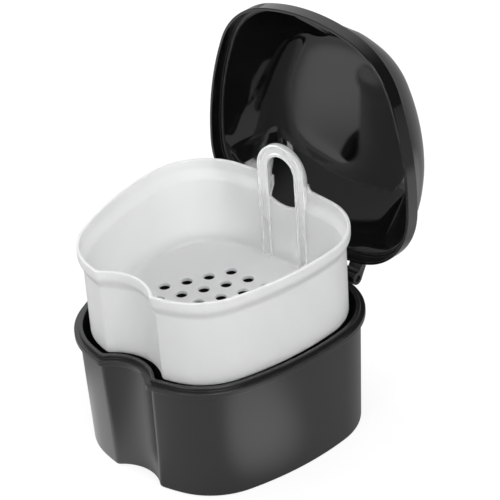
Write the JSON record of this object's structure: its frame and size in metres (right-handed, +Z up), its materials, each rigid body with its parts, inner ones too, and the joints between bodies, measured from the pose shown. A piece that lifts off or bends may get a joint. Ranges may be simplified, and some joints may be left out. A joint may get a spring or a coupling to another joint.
{
  "type": "denture case",
  "caption": "Hinged denture soaking case: a black moulded tub with a thumb bay, a domed lid and a translucent strainer basket with an arched lifting handle.",
  "frame": {"origin": "centre of the tub's outline on its flat resting face", "axes": "+Z up out of the resting face, +X to the right and parallel to the hinge, -Y towards the thumb bay at the front, +Y towards the hinge; drawn with the lid open and the basket lifted, as pictured"},
  "size_m": [0.0976, 0.1305, 0.1444],
  "materials": {
    "case_black": "glossy moulded",
    "lid_black": "high gloss moulded",
    "basket_milky": "milky translucent",
    "pin_black": "plain moulded"
  },
  "bodies": {
    "tub": {"tub": "case_black", "hinge_pin_left": "pin_black", "hinge_pin_right": "pin_black"},
    "lid": {"lid": "lid_black"},
    "strainer_basket": {"strainer_basket": "basket_milky"}
  },
  "joints": [
    {"name": "lid_hinge", "type": "hinge", "parent": "tub", "child": "lid", "pos_m": [0, 0.0511, 0.0458], "axis": [1, 0, 0], "range_deg": [0, 92.4]},
    {"name": "basket_lift", "type": "slide", "parent": "tub", "child": "strainer_basket", "axis": [0, 0, 1], "range_m": [-0.0445, 0]}
  ],
  "couplings": [
    {"joint": "basket_lift", "follows": "lid_hinge", "m_per_rad": -0.027593}
  ]
}
